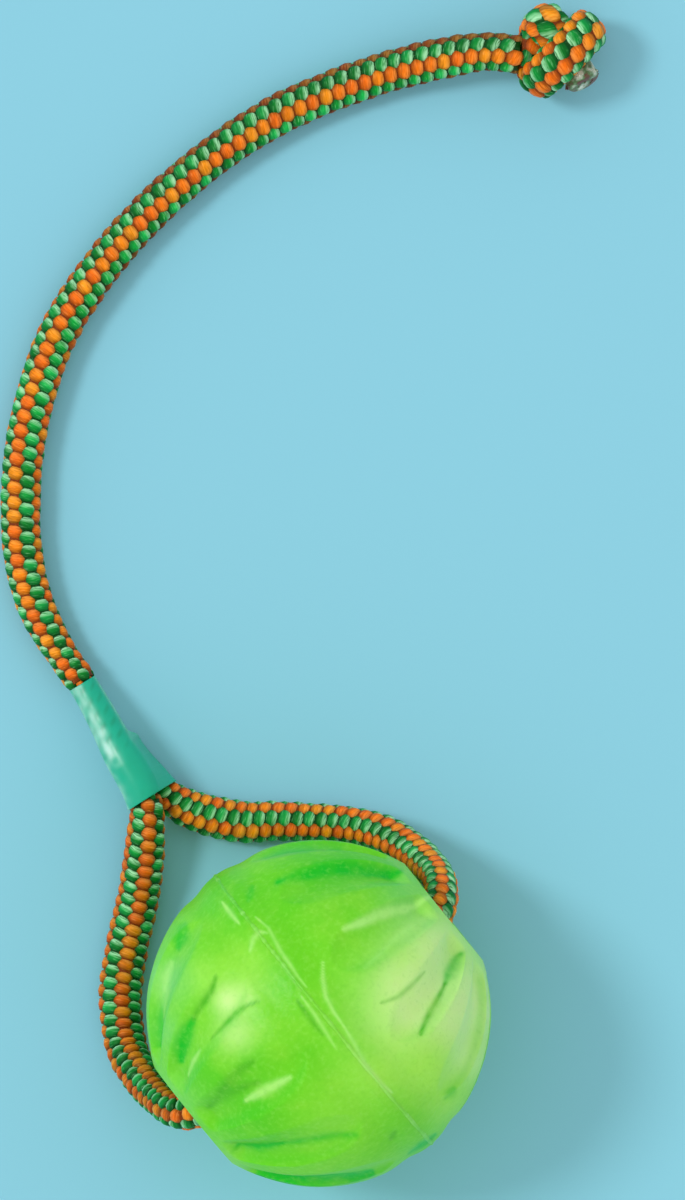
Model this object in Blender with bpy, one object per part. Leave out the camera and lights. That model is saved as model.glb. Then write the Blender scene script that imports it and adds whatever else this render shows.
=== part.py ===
# Ball on rope, a throw-and-tug toy: a hollow rubber ball of two bonded mouldings on a loop of braided rope.
# Metres, +Z up. The origin is on the floor under the ball's centre, and +X runs along the ball's bore.

import math

import bmesh
import bpy
import numpy as np
from mathutils import Matrix, Vector

MM = 0.001

# Ball
ball_diameter = 0.0824
ball_wall = 0.0070
mouth_radius = 0.0080
mouth_lip = 0.0042  # rounding between the bore and the land, where the wall leaves room for it
land_width = 0.0027  # of the flat ring round each mouth
inner_chamfer = 0.0008  # on the bore's inner edge
weld_offset = 0.0015  # the weld plane lies this far from the centre, towards the right mouth
weld_gap = 0.0003
groove_count = 11
groove_depth = 0.0021
groove_width = 0.0094  # across a groove at its widest
groove_phase = math.radians(5.5)  # of the left half's first groove, from straight up
groove_inner_end = 0.0095  # from the weld plane to the grooves' rounded ends
groove_inner_run = 0.0056  # over which a groove reaches its full depth
groove_outer_run = 0.0038  # over which it runs out towards the land
groove_margin = 0.0012  # from a groove's outer end to the land
segments_a_groove = 8
outer_steps = 11
lip_steps = 3
inner_steps = 5

# Rope
rope_diameter = 0.0090
knot_strand_diameter = 0.0061  # pulled tight in the knot
node_gap = 0.0003  # between the faces of two stretches of the rope
end_run = 0.0004  # to a stretch's last but one point, so that its face lies square to the rope
rope_bevel_steps = 3
tail_spacing = 0.0160
bend_spacing = 0.0080
knot_spacing = 0.0034
strand_apart = 2.25  # diameters along the rope, from which two points count as two strands

# Sleeve
sleeve_length = 0.0318
sleeve_wall = 0.00045
sleeve_clearance = 0.00045
sleeve_mouth = Vector((0.00124, 0.0654))  # plan position of its mouth's centre
sleeve_direction = Vector((0.128, 0.992)).normalized()  # in plan, from mouth to top
step_length = 0.0055  # the tube's run down from two ropes to one
sleeve_sides = 28
sleeve_steps = 4  # in each of its three parts

# Splice stitching
thread_diameter = 0.0010
thread_clearance = 0.0003
stitch_count = 4
first_stitch = 0.0020  # from the sleeve's mouth
last_stitch = 0.0020  # from the return end's face
thread_bevel_steps = 2
thread_steps = 3  # between two points of its route

# Sealed end
sealed_end_length = 0.0042
sealed_end_diameter = 0.0072
sealed_end_rounding = 0.0008
sealed_end_sides = 14

weld_distance = 1e-6
sharp_angle = math.radians(40)

ball_radius = ball_diameter / 2
ball_centre = Vector((0, 0, ball_radius))
land_distance = math.sqrt(ball_radius**2 - (mouth_radius + mouth_lip + land_width) ** 2)
groove_outer_end = land_distance - groove_margin
groove_pitch = 2 * math.pi / groove_count
rope_radius = rope_diameter / 2
thread_radius = thread_diameter / 2

# The rope's centreline, in millimetres, with its thickness as a share of rope_diameter. Each stretch ends at
# its last point, where the next one begins.
return_end_route = [
    (5.2, 79.0, 4.7, 0.82),
    (3.9, 74.5, 4.9, 0.85),
    (3.3, 71.2, 5.0, 0.87),
    (3.1, 68.2, 5.0, 0.88),
    (3.45, 64.9, 5.0, 0.87),
]
right_leg_route = [
    (5.0, 59.9, 4.8, 0.94),
    (7.2, 56.2, 4.6, 1.0),
    (14.2, 47.3, 4.6, 1.0),
    (20.9, 41.9, 4.6, 1.0),
    (28.8, 35.6, 5.0, 1.0),
    (35.1, 29.3, 6.8, 1.0),
    (39.3, 23.1, 10.2, 1.0),
    (41.8, 16.2, 15.7, 1.0),
    (43.1, 10.4, 23.4, 1.0),
    (43.7, 7.5, 28.2, 1.0),
    (42.7, 4.6, 33.2, 1.0),
    (39.9, 2.0, 37.7, 1.0),
]
through_route = [
    (35.5, 0.0, 41.2, 1.0),
    (20.0, -3.7, 47.6, 1.0),
    (0.0, -5.3, 50.3, 1.0),
    (-20.0, -3.7, 47.6, 1.0),
    (-35.5, 0.0, 41.2, 1.0),
    (-39.9, 2.0, 37.7, 1.0),
]
left_leg_route = [
    (-42.7, 4.6, 33.2, 1.0),
    (-43.7, 7.5, 28.2, 1.0),
    (-43.4, 11.8, 21.6, 1.0),
    (-41.2, 21.0, 11.0, 1.0),
    (-35.4, 31.0, 6.6, 1.0),
    (-26.3, 40.2, 5.2, 1.0),
    (-16.6, 47.8, 6.6, 1.0),
    (-8.0, 56.2, 9.9, 0.98),
    (-4.2, 60.2, 11.4, 0.95),
    (-1.7, 63.5, 12.2, 0.91),
    (-0.7, 65.4, 12.5, 0.88),
]
in_sleeve_route = [
    (0.1, 67.3, 12.7, 0.88),
    (1.0, 71.2, 12.9, 0.87),
    (2.2, 79.4, 12.2, 0.86),
    (3.8, 87.3, 10.0, 0.78),
    (5.3, 97.1, 6.9, 0.74),
]
tail_route = [
    (5.9, 104.5, 5.4, 0.86),
    (7.8, 115.0, 4.7, 0.96),
    (11.1, 124.3, 4.55, 1.0),
    (15.9, 132.7, 4.5, 1.0),
    (21.9, 140.3, 4.5, 1.0),
    (28.6, 147.6, 4.5, 1.0),
    (36.0, 154.2, 4.5, 1.0),
    (43.9, 159.9, 4.5, 1.0),
    (52.1, 164.7, 4.5, 1.0),
    (60.9, 168.5, 4.5, 1.0),
    (70.2, 171.3, 4.5, 1.0),
    (84.2, 174.1, 4.5, 1.0),
    (98.6, 175.4, 4.5, 1.0),
    (113.1, 175.3, 4.5, 1.0),
    (127.4, 173.5, 4.5, 1.0),
    (141.3, 169.9, 4.6, 1.0),
    (154.9, 164.9, 5.3, 1.0),
    (167.9, 158.4, 7.7, 1.0),
    (176.0, 153.4, 9.7, 0.96),
]

# The knot's own route, in millimetres from its centre: x on along the arriving rope, y to its left, z up.
knot_centre = Vector((0.1904, 0.1424, 0.01080))
knot_heading = math.radians(-39.0)
knot_route = [
    (-9.8, -0.6, 0.3),
    (-5.4, -1.1, -0.4),
    (-1.3, -0.9, -3.4),
    (2.7, 1.2, -5.4),
    (6.4, 4.1, -3.8),
    (8.2, 5.9, 0.4),
    (7.2, 5.5, 5.2),
    (4.3, 2.9, 8.1),
    (1.2, -0.8, 7.7),
    (-0.7, -4.4, 4.6),
    (-2.4, -7.3, 1.0),
    (-4.8, -7.5, -3.2),
    (-6.8, -4.4, -6.6),
    (-7.0, 0.4, -7.5),
    (-5.2, 4.6, -5.6),
    (-1.8, 5.9, -1.9),
    (1.5, 3.6, 0.9),
    (4.8, -0.1, 2.0),
    (8.0, -3.5, 3.9),
]


def clear_scene():
    for obj in list(bpy.data.objects):
        bpy.data.objects.remove(obj, do_unlink=True)


def make_collection(name):
    collection = bpy.data.collections.new(name)
    bpy.context.scene.collection.children.link(collection)
    return collection


def make_material(name, colour, roughness, transmission=0.0):
    material = bpy.data.materials.new(name)
    material.use_nodes = True
    shader = material.node_tree.nodes["Principled BSDF"]
    shader.inputs["Base Color"].default_value = (*colour, 1.0)
    shader.inputs["Roughness"].default_value = roughness
    shader.inputs["Metallic"].default_value = 0.0
    shader.inputs["Transmission Weight"].default_value = transmission
    return material


def mesh_object(name, bm, material):
    """The finished piece made from a bmesh, shaded smooth between its sharp edges."""
    mesh = bpy.data.meshes.new(name)
    bm.to_mesh(mesh)
    bm.free()
    mesh.shade_smooth()
    mesh.set_sharp_from_angle(angle=sharp_angle)
    mesh.materials.append(material)
    obj = bpy.data.objects.new(name, mesh)
    parts.objects.link(obj)
    return obj


def smoothstep(low, high, value):
    share = min(max((value - low) / (high - low), 0.0), 1.0)
    return share * share * (3 - 2 * share)


# Ball


def arc(centre_x, centre_r, radius, start, end, steps):
    """Points (x, r) of an arc, with its angles measured from +x."""
    return [
        (centre_x + radius * math.cos(a), centre_r + radius * math.sin(a))
        for a in np.linspace(start, end, steps + 1)
    ]


def half_profile(side):
    """A half's closed section (x, r), side 1 for the right mouth: out over the ball, in through the bore."""
    inner_radius = ball_radius - ball_wall
    rim = side * weld_offset + weld_gap / 2
    bore_end = math.sqrt(inner_radius**2 - mouth_radius**2)
    lip = min(mouth_lip, land_distance - bore_end - inner_chamfer)
    rim_angle = math.acos(rim / ball_radius)
    land_angle = math.acos(land_distance / ball_radius)
    chamfer_angle = math.asin((mouth_radius + inner_chamfer) / inner_radius)
    inner_rim_angle = math.acos(rim / inner_radius)
    outside = arc(0, 0, ball_radius, rim_angle, land_angle, outer_steps)
    mouth = arc(land_distance - lip, mouth_radius + lip, lip, 0.0, -math.pi / 2, lip_steps)
    inside = arc(0, 0, inner_radius, chamfer_angle, inner_rim_angle, inner_steps)
    return outside + mouth + [(bore_end + inner_chamfer / 2, mouth_radius)] + inside


def groove_drop(from_weld, from_centre, turn):
    """How far the ball's surface is sunk, at an angle turn from the middle of the nearest groove."""
    widest_radius = math.sqrt(ball_radius**2 - (groove_inner_end + groove_inner_run) ** 2)
    half_angle = groove_width / 2 / widest_radius
    scoop = max(1 - (turn / half_angle) ** 2, 0.0)
    inner_fade = smoothstep(groove_inner_end, groove_inner_end + groove_inner_run, from_weld)
    outer_fade = 1 - smoothstep(groove_outer_end - groove_outer_run, groove_outer_end, from_centre)
    return groove_depth * scoop * inner_fade * outer_fade


def ball_half(name, side, parent):
    """A half shell, spun from its section round the bore's axis, with its grooves sunk in the outer face."""
    profile = half_profile(side)
    start_turn = groove_phase + (side > 0) * groove_pitch / 2
    bm = bmesh.new()
    verts = [bm.verts.new((side * x, 0.0, r)) for x, r in profile]
    edges = [bm.edges.new((a, b)) for a, b in zip(verts, verts[1:] + verts[:1])]
    bmesh.ops.rotate(bm, verts=verts, cent=(0, 0, 0), matrix=turn_about_bore(start_turn))
    bmesh.ops.spin(
        bm,
        geom=verts + edges,
        cent=(0, 0, 0),
        axis=(1, 0, 0),
        angle=2 * math.pi,
        steps=groove_count * segments_a_groove,
        use_merge=True,
    )
    for vert in bm.verts:
        x, radius = side * vert.co.x, vert.co.length
        if radius < ball_radius - weld_distance or x > groove_outer_end:
            continue
        turn = math.atan2(-vert.co.y, vert.co.z) - start_turn
        from_nearest = turn - groove_pitch * round(turn / groove_pitch)
        vert.co *= 1 - groove_drop(x - side * weld_offset, x, from_nearest) / radius
    bmesh.ops.recalc_face_normals(bm, faces=bm.faces)
    obj = mesh_object(name, bm, rubber)
    obj.parent = parent
    return obj


def turn_about_bore(angle):
    """A turn about +X that takes straight up towards -Y."""
    return Matrix.Rotation(angle, 3, "X")


# Rope


def smooth_curve(route, steps=24):
    """A centripetal Catmull-Rom curve through the route: its points, and the index of each route point."""
    pts = [np.array(p, float) for p in route]
    pts = [2 * pts[0] - pts[1]] + pts + [2 * pts[-1] - pts[-2]]
    curve, marks = [pts[1]], [0]
    for p0, p1, p2, p3 in zip(pts, pts[1:], pts[2:], pts[3:]):
        t1 = np.linalg.norm(p1[:3] - p0[:3]) ** 0.5
        t2 = t1 + np.linalg.norm(p2[:3] - p1[:3]) ** 0.5
        t3 = t2 + np.linalg.norm(p3[:3] - p2[:3]) ** 0.5
        for t in np.linspace(t1, t2, steps + 1)[1:]:
            a1 = p0 + (p1 - p0) * t / t1
            a2 = p1 + (p2 - p1) * (t - t1) / (t2 - t1)
            a3 = p2 + (p3 - p2) * (t - t2) / (t3 - t2)
            b1 = a1 + (a2 - a1) * t / t2
            b2 = a2 + (a3 - a2) * (t - t1) / (t3 - t1)
            curve.append(b1 + (b2 - b1) * (t - t1) / (t2 - t1))
        marks.append(len(curve) - 1)
    return np.array(curve), marks


def lengths_along(curve):
    steps = np.linalg.norm(np.diff(curve[:, :3], axis=0), axis=1)
    return np.concatenate([[0.0], np.cumsum(steps)])


def points_at(curve, lengths, wanted):
    return np.stack([np.interp(wanted, lengths, curve[:, k]) for k in range(curve.shape[1])], axis=1)


def tube_object(name, points, radii, level, material, collection):
    """A curve object along the points, with its own radius at each."""
    data = bpy.data.curves.new(name, "CURVE")
    data.dimensions = "3D"
    data.bevel_depth = 1.0
    data.bevel_resolution = level
    data.use_fill_caps = True
    spline = data.splines.new("POLY")
    spline.points.add(len(points) - 1)
    for target, point, radius in zip(spline.points, points, radii):
        target.co = (*point[:3], 1.0)
        target.radius = radius
    data.materials.append(material)
    obj = bpy.data.objects.new(name, data)
    collection.objects.link(obj)
    return obj


def as_mesh(curve_object, collection):
    """The same piece as a closed mesh, its loose caps welded, so that it can be cut or can cut."""
    bpy.context.view_layer.update()
    graph = bpy.context.evaluated_depsgraph_get()
    mesh = bpy.data.meshes.new_from_object(curve_object.evaluated_get(graph))
    bm = bmesh.new()
    bm.from_mesh(mesh)
    bmesh.ops.remove_doubles(bm, verts=bm.verts, dist=weld_distance)
    bmesh.ops.recalc_face_normals(bm, faces=bm.faces)
    bm.to_mesh(mesh)
    bm.free()
    name = curve_object.name
    obj = bpy.data.objects.new(name + " mesh", mesh)
    obj.matrix_world = curve_object.matrix_world
    collection.objects.link(obj)
    bpy.data.objects.remove(curve_object, do_unlink=True)
    obj.name = name
    return obj


def rope_stretch(name, start, end, spacing):
    """A stretch of the rope between two lengths along it, half a gap short of each neighbour."""
    first, last = start + node_gap / 2, end - node_gap / 2
    count = max(2, math.ceil((last - first) / spacing) + 1)
    wanted = [first, *np.linspace(first + end_run, last - end_run, count), last]
    points = points_at(rope_curve, rope_lengths, wanted)
    return tube_object(name, points, points[:, 3] * rope_radius, rope_bevel_steps, braid, parts)


def knot_in_world():
    turn = Matrix.Rotation(knot_heading, 3, "Z")
    share = knot_strand_diameter / rope_diameter
    return [(*(knot_centre + turn @ Vector(point) * MM), share) for point in knot_route]


def least_gap(points, diameter):
    """The least distance between two strands of one tube, measured between its centreline's points."""
    lengths = lengths_along(points)
    apart = np.abs(lengths[:, None] - lengths[None, :]) > strand_apart * diameter
    distance = np.linalg.norm(points[:, None, :3] - points[None, :, :3], axis=2)
    return distance[apart].min() - diameter


# Sleeve


def sleeve_axes():
    along = Vector((*sleeve_direction, 0.0))
    across = Vector((along.y, -along.x, 0.0))
    return along, across


def section_of(curve, station):
    """Where a stretch of the rope crosses the sleeve's section at this station: (across, z, radius)."""
    along, across = sleeve_axes()
    mouth = np.array((*sleeve_mouth, 0.0))
    offset = curve[:, :3] - mouth
    stations = offset @ np.array(along)
    order = np.argsort(stations)
    sideways = np.interp(station, stations[order], (offset @ np.array(across))[order])
    height = np.interp(station, stations[order], curve[order, 2])
    share = np.interp(station, stations[order], curve[order, 3])
    return np.array([sideways, height, share * rope_radius])


def sleeve_circles(station):
    """The circles that the sleeve goes round at a station: the standing rope's and the return end's."""
    standing = section_of(standing_curve, station)
    cut = return_end_station()
    if station <= cut:
        return standing, section_of(return_curve, station)
    share = smoothstep(0.0, step_length, station - cut)
    end = section_of(return_curve, cut)
    return standing, end + (standing - end) * share


def return_end_station():
    along, _ = sleeve_axes()
    first = Vector(return_end_route[0][:3]) * MM - Vector((*sleeve_mouth, 0.0))
    return first.dot(along)


def sleeve_ring(bm, station, offset):
    """A ring of points round both circles, each the farthest one in its own direction."""
    along, across = sleeve_axes()
    circles = sleeve_circles(station)
    origin = Vector((*sleeve_mouth, 0.0)) + along * station
    ring = []
    for k in range(sleeve_sides):
        angle = 2 * math.pi * k / sleeve_sides
        facing = np.array([math.cos(angle), math.sin(angle)])
        side, height, radius = max(circles, key=lambda c: c[:2] @ facing + c[2])
        reach = radius + offset
        point = origin + across * (side + reach * facing[0])
        ring.append(bm.verts.new((point.x, point.y, height + reach * facing[1])))
    return ring


def make_sleeve():
    """The shrunk tube, lofted up its inner skin and back down its outer one."""
    cut = return_end_station()
    bounds = [0.0, cut, cut + step_length, sleeve_length]
    stations = [0.0]
    for low, high in zip(bounds, bounds[1:]):
        stations += list(np.linspace(low, high, sleeve_steps + 1)[1:])
    bm = bmesh.new()
    inner = [sleeve_ring(bm, station, sleeve_clearance) for station in stations]
    outer = [sleeve_ring(bm, station, sleeve_clearance + sleeve_wall) for station in stations]
    rings = inner + outer[::-1]
    for low, high in zip(rings, rings[1:] + rings[:1]):
        for k in range(sleeve_sides):
            after = (k + 1) % sleeve_sides
            bm.faces.new((low[k], low[after], high[after], high[k]))
    bmesh.ops.recalc_face_normals(bm, faces=bm.faces)
    return mesh_object("shrink_sleeve", bm, shrink_film)


# Stitching


def stitch_route():
    """The thread's path: through both ropes, on along the far side, back through, and so on.

    Each bend is three points: one along the run between two stitches, one on the slant, one in the stitch.
    """
    along, across = sleeve_axes()
    stitched = return_end_station() - first_stitch - last_stitch
    bedding = thread_radius + thread_clearance
    slant = 0.3 * thread_diameter
    bend = [(3 * slant, 0.0), (slant, slant), (0.0, thread_diameter)]
    route = []
    for k in range(stitch_count):
        station = first_stitch + stitched * k / (stitch_count - 1)
        standing = section_of(standing_curve, station)
        returning = section_of(return_curve, station)
        down = (returning[:2] - standing[:2]) / np.linalg.norm(returning[:2] - standing[:2])
        top = standing[:2] - down * (standing[2] - bedding)
        bottom = returning[:2] + down * (returning[2] - bedding)
        first, last = (top, bottom) if k % 2 == 0 else (bottom, top)
        through = (last - first) / np.linalg.norm(last - first)
        coming = [(first + through * sunk, -run) for run, sunk in bend]
        going = [(last - through * sunk, run) for run, sunk in bend[::-1]]
        if k == 0:
            coming = [(first, 0.0)]
        if k == stitch_count - 1:
            going = [(last, 0.0)]
        for (side, height), shift in coming + going:
            place = Vector((*sleeve_mouth, 0.0)) + along * (station + shift) + across * side
            route.append((place.x, place.y, height, 1.0))
    return route


def make_stitching():
    """The thread, and the channel that it takes out of both ropes."""
    curve, _ = smooth_curve(stitch_route(), thread_steps)
    radii = [thread_radius] * len(curve)
    thread = tube_object("splice_stitching", curve, radii, thread_bevel_steps, twine, parts)
    channel_points = curve.copy()
    for end, inner in ((0, 1), (-1, -2)):
        outward = curve[end, :3] - curve[inner, :3]
        channel_points[end, :3] += outward / np.linalg.norm(outward) * thread_clearance
    channel_radii = [thread_radius + thread_clearance] * len(curve)
    channel = tube_object("stitch_channel", channel_points, channel_radii, thread_bevel_steps, twine, cutters)
    channel = as_mesh(channel, cutters)
    channel.hide_render = True
    channel.display_type = "WIRE"
    return thread, channel


def cut_channel(rope_object, channel):
    solid = as_mesh(rope_object, parts)
    cut = solid.modifiers.new("stitch channel", "BOOLEAN")
    cut.operation = "DIFFERENCE"
    cut.solver = "EXACT"
    cut.object = channel
    return solid


# Sealed end


def make_sealed_end():
    """The rope's cut end, heat-sealed to a short stub that stands out of the knot."""
    bm = bmesh.new()
    bmesh.ops.create_cone(
        bm,
        cap_ends=True,
        segments=sealed_end_sides,
        radius1=sealed_end_diameter / 2,
        radius2=sealed_end_diameter / 2,
        depth=sealed_end_length,
    )
    top = [e for e in bm.edges if all(v.co.z > 0 for v in e.verts)]
    bmesh.ops.bevel(
        bm, geom=top, offset=sealed_end_rounding, segments=2, profile=0.5, affect="EDGES", material=-1
    )
    obj = mesh_object("sealed_end", bm, melted)
    before, last = points_at(rope_curve, rope_lengths, [rope_lengths[-1] - end_run, rope_lengths[-1]])[:, :3]
    facing = Vector(last - before).normalized()
    obj.rotation_mode = "QUATERNION"
    obj.rotation_quaternion = facing.to_track_quat("Z", "Y")
    obj.location = Vector(last) + facing * (node_gap / 2 + sealed_end_length / 2)
    return obj


clear_scene()
parts = make_collection("ball_on_rope")
cutters = make_collection("ball_on_rope_cutters")
rubber = make_material("lime_rubber", (0.16, 0.62, 0.05), 0.35, 0.4)
braid = make_material("green_and_orange_braid", (0.45, 0.22, 0.04), 0.85)
shrink_film = make_material("teal_shrink_film", (0.04, 0.5, 0.33), 0.2)
twine = make_material("white_twine", (0.8, 0.78, 0.7), 0.8)
melted = make_material("melted_rope_end", (0.08, 0.06, 0.03), 0.5)

# The whole rope is one smooth curve, cut into its stretches.
stretches = [return_end_route, right_leg_route, through_route, left_leg_route, in_sleeve_route, tail_route]
in_metres = [(x * MM, y * MM, z * MM, share) for route in stretches for x, y, z, share in route]
whole_route = in_metres + knot_in_world()
rope_curve, route_marks = smooth_curve(whole_route)
rope_lengths = lengths_along(rope_curve)
ends_at = np.cumsum([len(route) for route in stretches]) - 1
joints = [rope_lengths[route_marks[k]] for k in ends_at]
joints[-1] = rope_lengths[route_marks[len(in_metres)]]
standing_curve = rope_curve[route_marks[ends_at[3] - 2] : route_marks[ends_at[4] + 1]]
return_curve = rope_curve[: route_marks[ends_at[0] + 1]]

axis_empty = bpy.data.objects.new("ball_axis", None)
axis_empty.location = ball_centre
parts.objects.link(axis_empty)
ball_half("ball_half_left", -1, axis_empty)
ball_half("ball_half_right", 1, axis_empty)

return_end = rope_stretch("rope_return_end", 0.0, joints[0], bend_spacing)
rope_stretch("rope_leg_right", joints[0], joints[1], bend_spacing)
rope_stretch("rope_through_ball", joints[1], joints[2], tail_spacing)
rope_stretch("rope_leg_left", joints[2], joints[3], bend_spacing)
in_sleeve = rope_stretch("rope_in_sleeve", joints[3], joints[4], bend_spacing)
rope_stretch("rope_tail", joints[4], joints[5], tail_spacing)
rope_stretch("tail_knot", joints[5], rope_lengths[-1], knot_spacing)

make_sleeve()
thread, channel = make_stitching()
cut_channel(return_end, channel)
cut_channel(in_sleeve, channel)
make_sealed_end()

knot_points = rope_curve[route_marks[len(in_metres)] :]
print(f"least gap inside the knot: {least_gap(knot_points, knot_strand_diameter) / MM:.2f} mm")
print(f"rope length: {rope_lengths[-1]:.3f} m")
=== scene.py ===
import math
import random

import bmesh
import bpy
import numpy as np
from mathutils import Matrix, Vector, noise


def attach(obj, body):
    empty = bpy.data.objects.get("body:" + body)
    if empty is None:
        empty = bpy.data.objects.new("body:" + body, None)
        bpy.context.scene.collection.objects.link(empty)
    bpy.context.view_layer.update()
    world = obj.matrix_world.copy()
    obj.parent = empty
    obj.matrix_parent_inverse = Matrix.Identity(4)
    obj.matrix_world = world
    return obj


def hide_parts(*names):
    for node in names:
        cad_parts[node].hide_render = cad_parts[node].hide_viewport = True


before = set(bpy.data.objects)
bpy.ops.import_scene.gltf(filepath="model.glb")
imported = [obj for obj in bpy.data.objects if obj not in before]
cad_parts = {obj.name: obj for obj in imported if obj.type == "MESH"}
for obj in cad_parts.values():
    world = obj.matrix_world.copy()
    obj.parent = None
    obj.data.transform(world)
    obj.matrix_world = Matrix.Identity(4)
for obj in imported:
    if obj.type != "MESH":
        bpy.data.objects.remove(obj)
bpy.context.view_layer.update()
scene = bpy.context.scene
scene.view_settings.view_transform = "Standard"
print("frame loaded:", len(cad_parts), "solids")


def srgb(red, green, blue, alpha=1.0):  # 0 to 255, as a colour picker shows it
    def linear(value):
        value /= 255
        return value / 12.92 if value <= 0.04045 else ((value + 0.055) / 1.055) ** 2.4

    return (linear(red), linear(green), linear(blue), alpha)


def addObject(name, data, material=None):
    made = bpy.data.objects.new(name, data)
    scene.collection.objects.link(made)
    if material:
        data.materials.append(material)
    return made


def meshOf(bm, name):
    mesh = bpy.data.meshes.new(name)
    bm.to_mesh(mesh)
    bm.free()
    return mesh


def pointPlaces(mesh):
    places = np.empty(len(mesh.vertices) * 3)
    mesh.vertices.foreach_get("co", places)
    return places.reshape(-1, 3)


def tintPoints(mesh, name, colours):
    tint = mesh.color_attributes.new(name=name, type="FLOAT_COLOR", domain="POINT")
    tint.data.foreach_set("color", colours.ravel())


# Camera, straight above, with the photograph's crop of 685 x 1200

view = {
    "aim": (0.0666, 0.0730),
    "height": 3.52,
    "turn": -39.07,
    "lens": 437.5,
    "sensor": 36,
    "farthest": 20,
}

cameraData = bpy.data.cameras.new("camera")
cameraData.lens = view["lens"]
cameraData.sensor_width = view["sensor"]
cameraData.clip_end = view["farthest"]
camera = addObject("camera", cameraData)
camera.location = (*view["aim"], view["height"])
camera.rotation_euler = (0, 0, math.radians(view["turn"]))
scene.camera = camera


# The rope's line: the same smooth curve as in the solids

ropeRoutes = {  # x, y, z in metres, and the rope's thickness as a share of its diameter
    "returnEnd": [
        (0.0052, 0.079, 0.0047, 0.82), (0.0039, 0.0745, 0.0049, 0.85), (0.0033, 0.0712, 0.005, 0.87),
        (0.0031, 0.0682, 0.005, 0.88), (0.0034, 0.0649, 0.005, 0.87),
    ],
    "rightLeg": [
        (0.005, 0.0599, 0.0048, 0.96), (0.0069, 0.056, 0.0046, 1.06), (0.0139, 0.047, 0.0046, 1.1),
        (0.0207, 0.0416, 0.0046, 1.06), (0.0283, 0.035, 0.005, 1), (0.0346, 0.0289, 0.0068, 1),
        (0.0389, 0.0229, 0.0102, 1.02), (0.0415, 0.0161, 0.0157, 1), (0.0425, 0.0103, 0.0234, 0.94),
        (0.0427, 0.0076, 0.0282, 0.9), (0.0418, 0.0052, 0.0332, 0.88), (0.0396, 0.0025, 0.0377, 0.9),
    ],
    "throughBall": [
        (0.0355, 0, 0.0412, 0.95), (0.02, -0.0037, 0.0476, 1), (0, -0.0053, 0.0503, 1),
        (-0.02, -0.0037, 0.0476, 1), (-0.0355, 0, 0.0412, 1), (-0.0399, 0.002, 0.0377, 0.95),
    ],
    "leftLeg": [
        (-0.042, 0.0051, 0.0332, 0.9), (-0.0426, 0.0076, 0.0282, 0.92), (-0.0431, 0.0117, 0.0216, 1),
        (-0.0419, 0.0213, 0.011, 1.1), (-0.036, 0.0315, 0.0066, 1.14), (-0.0267, 0.0406, 0.0052, 1.14),
        (-0.017, 0.0482, 0.0066, 1.12), (-0.0082, 0.0564, 0.0099, 1.08), (-0.0044, 0.0604, 0.0114, 0.99),
        (-0.0017, 0.0635, 0.0122, 0.91), (-0.0007, 0.0654, 0.0125, 0.88),
    ],
    "inSleeve": [
        (0.0001, 0.0673, 0.0127, 0.88), (0.001, 0.0712, 0.0129, 0.87), (0.0022, 0.0794, 0.0122, 0.86),
        (0.0038, 0.0873, 0.01, 0.78), (0.0053, 0.0971, 0.0069, 0.74),
    ],
    "tail": [
        (0.0058, 0.1045, 0.0054, 0.83), (0.0074, 0.1151, 0.0047, 0.98), (0.0107, 0.1245, 0.00455, 1.04),
        (0.0156, 0.1329, 0.0045, 1.06), (0.0216, 0.1406, 0.0045, 1.06), (0.0283, 0.1479, 0.0045, 1.06),
        (0.0358, 0.1545, 0.0045, 1.06), (0.0437, 0.1602, 0.0045, 1.06), (0.0519, 0.1651, 0.0045, 1.06),
        (0.0608, 0.1688, 0.0045, 1.06), (0.0701, 0.1715, 0.0045, 1.06), (0.0841, 0.1744, 0.0045, 1.06),
        (0.0986, 0.1756, 0.0045, 1.06), (0.1131, 0.1755, 0.0045, 1.06), (0.1275, 0.1738, 0.0045, 1.09),
        (0.1414, 0.1701, 0.0046, 1.09), (0.155, 0.1651, 0.0053, 1.09), (0.1681, 0.1588, 0.0077, 1.09),
        (0.1763, 0.1539, 0.0097, 0.99),
    ],
}

knotRoute = [  # from the knot's centre: on along the rope, to its left, up
    (-0.0098, -0.0006, 0.0003), (-0.0054, -0.0011, -0.0004), (-0.0013, -0.0009, -0.0034),
    (0.0027, 0.0012, -0.0054), (0.0064, 0.0041, -0.0038), (0.0082, 0.0059, 0.0004),
    (0.0072, 0.0055, 0.0052), (0.0043, 0.0029, 0.0081), (0.0012, -0.0008, 0.0077),
    (-0.0007, -0.0044, 0.0046), (-0.0024, -0.0073, 0.001), (-0.0048, -0.0075, -0.0032),
    (-0.0068, -0.0044, -0.0066), (-0.007, 0.0004, -0.0075), (-0.0052, 0.0046, -0.0056),
    (-0.0018, 0.0059, -0.0019), (0.0015, 0.0036, 0.0009), (0.0048, -0.0001, 0.002),
    (0.008, -0.0035, 0.0039),
]

knot = {
    "centre": (0.1904, 0.1424, 0.0108),
    "heading": -39.0,
    "strand": 0.0061,
    "entry": 0.006,  # up to here the strand's upper side faces straight up
    "thickness": ((0, 0.008, 0.013, 0.019), (1.02, 1.0, 0.82, 1.0)),  # by length along the strand
    "evening": 16,  # rounds
    "pitch": 1.1,
    "flatten": (1.14, 0.76),
    "roll": -22.5,
}
rope = {
    "diameter": 0.009,
    "step": 0.0005,
    "pathStep": 0.002,
    "swellRun": 0.022,  # above the sleeve, and how thick it is there at least
    "swollen": 0.84,
    "knotRun": 0.02,  # before the knot
    "knotSwollen": 1.02,
    "tailPitch": 1.11,
}


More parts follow.
